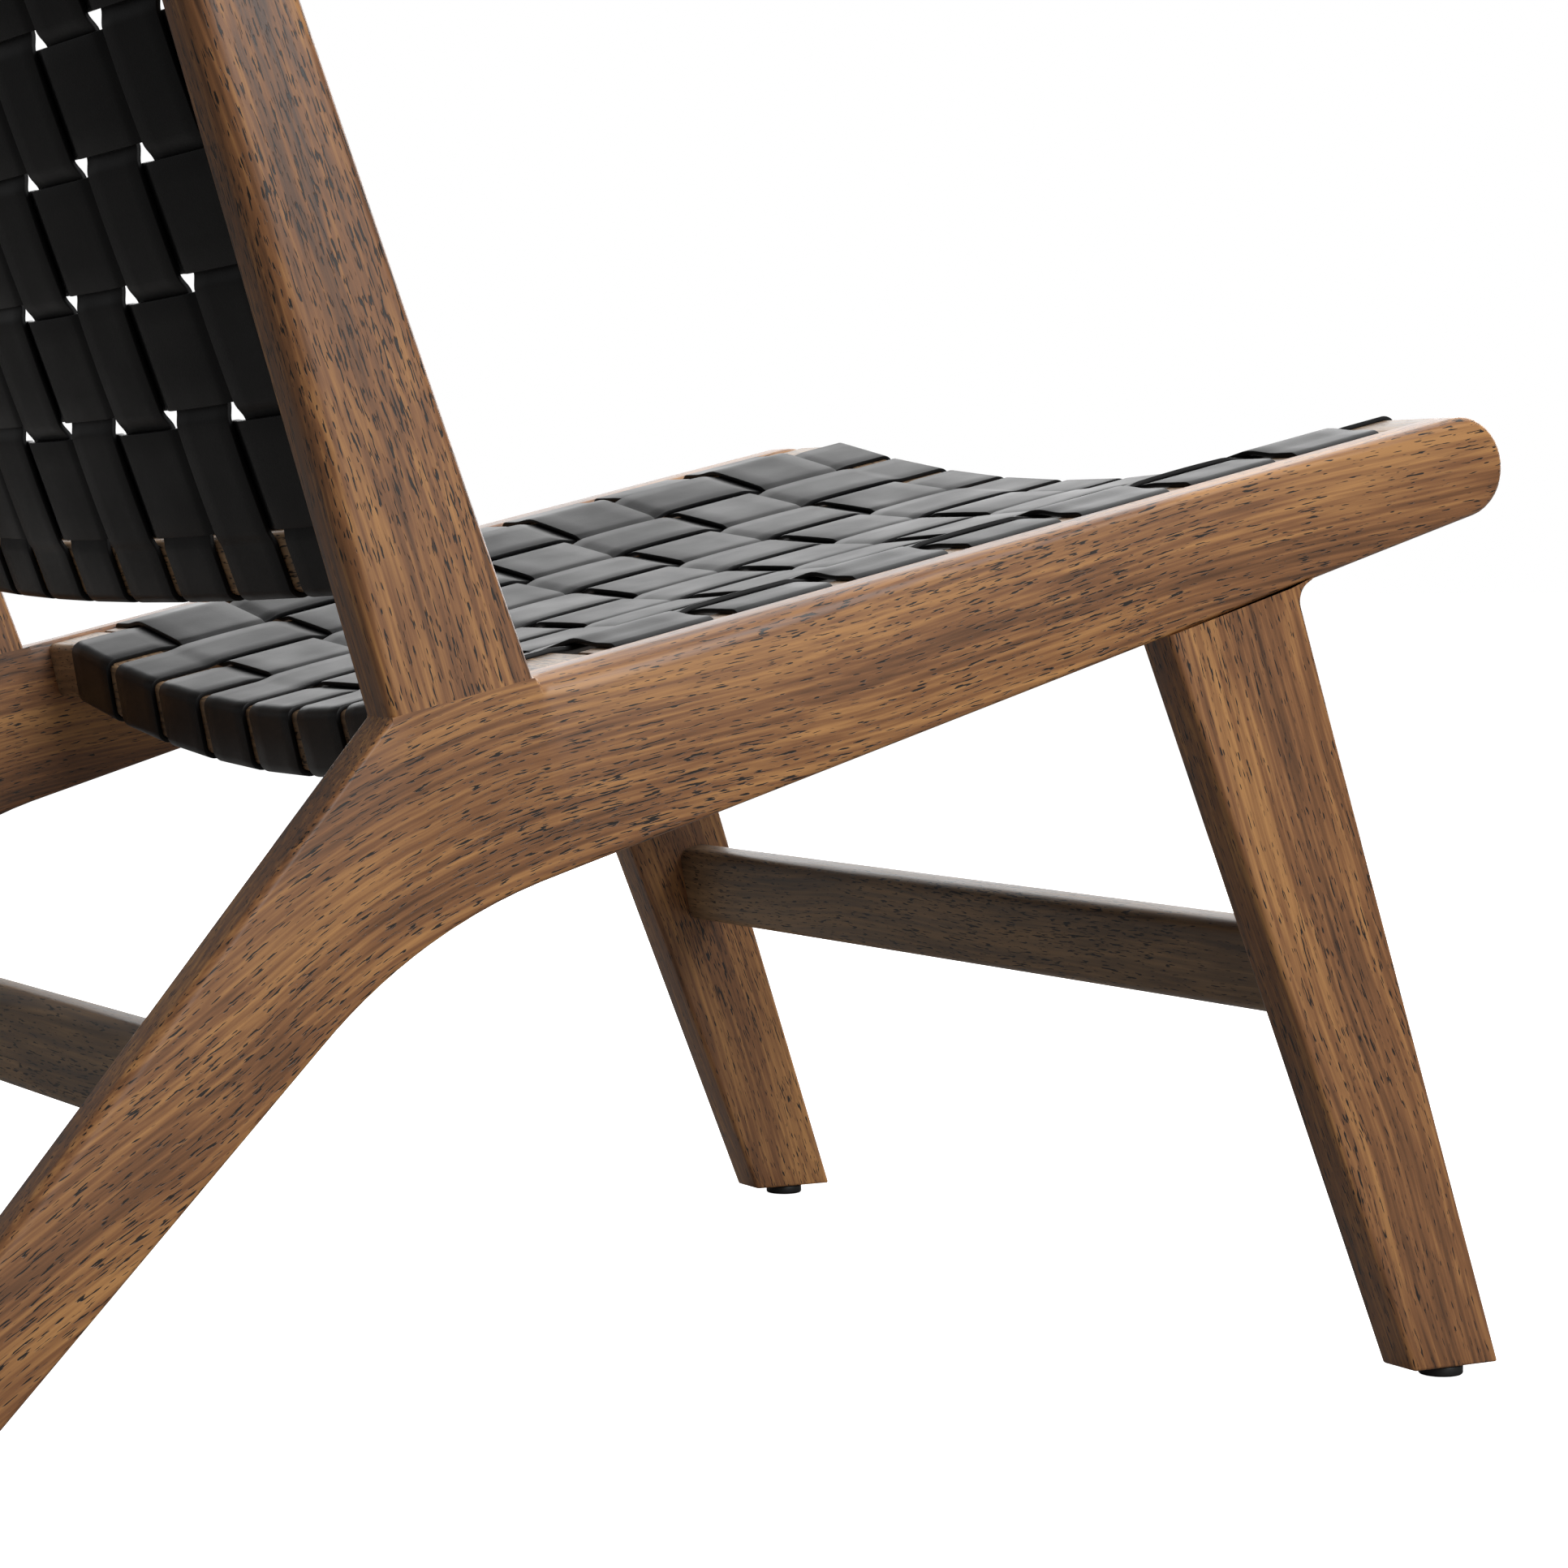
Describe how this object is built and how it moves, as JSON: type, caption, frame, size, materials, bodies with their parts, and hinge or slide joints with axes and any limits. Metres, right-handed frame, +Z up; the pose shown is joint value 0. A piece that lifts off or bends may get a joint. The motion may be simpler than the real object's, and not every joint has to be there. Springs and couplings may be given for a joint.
{
  "type": "lounge chair",
  "caption": "Low armless lounge chair with boomerang hardwood side frames and a plain-woven seat and back of flat leather straps.",
  "frame": {"origin": "on the floor, midway between the two side frames and midway between the front toes and the rear heels", "axes": "+X to the sitter's left, -Y the way the sitter faces, +Z up; metres"},
  "size_m": [0.62, 0.782, 0.74],
  "materials": {
    "frame_wood": "oiled walnut, satin, open pores along the grain",
    "dark_wood": "oiled walnut, slightly duller and darker than the side frames",
    "strap": "black leather, semi-matt with a soft sheen, raw grey edges",
    "dowel_wood": "unfinished beech",
    "fastener_steel": "plain zinc-plated steel",
    "glide_plastic": "black nylon, matt"
  },
  "bodies": {
    "root": {"side_frame_left": "frame_wood", "side_frame_right": "frame_wood", "front_leg_left": "frame_wood", "front_leg_right": "frame_wood", "back_stile_left": "frame_wood", "back_stile_right": "frame_wood", "front_stretcher": "dark_wood", "rear_stretcher": "dark_wood", "seat_front_rail": "dark_wood", "seat_rear_rail": "dark_wood", "seat_batten_left": "dark_wood", "seat_batten_right": "dark_wood", "back_top_rail": "dark_wood", "back_bottom_rail": "dark_wood", "back_batten_left": "dark_wood", "back_batten_right": "dark_wood", "seat_strap_long_1": "strap", "seat_strap_long_2": "strap", "seat_strap_long_3": "strap", "seat_strap_long_4": "strap", "seat_strap_long_5": "strap", "seat_strap_long_6": "strap", "seat_strap_long_7": "strap", "seat_strap_long_8": "strap", "seat_strap_long_9": "strap", "seat_strap_cross_1": "strap", "seat_strap_cross_2": "strap", "seat_strap_cross_3": "strap", "seat_strap_cross_4": "strap", "seat_strap_cross_5": "strap", "seat_strap_cross_6": "strap", "seat_strap_cross_7": "strap", "back_strap_upright_1": "strap", "back_strap_upright_2": "strap", "back_strap_upright_3": "strap", "back_strap_upright_4": "strap", "back_strap_upright_5": "strap", "back_strap_upright_6": "strap", "back_strap_upright_7": "strap", "back_strap_upright_8": "strap", "back_strap_upright_9": "strap", "back_strap_cross_1": "strap", "back_strap_cross_2": "strap", "back_strap_cross_3": "strap", "back_strap_cross_4": "strap", "back_strap_cross_5": "strap", "back_strap_cross_6": "strap", "frame_dowels": "dowel_wood", "rail_dowels": "dowel_wood", "batten_screws": "fastener_steel", "seat_staples": "fastener_steel", "back_staples": "fastener_steel", "foot_glides": "glide_plastic"}
  },
  "joints": []
}
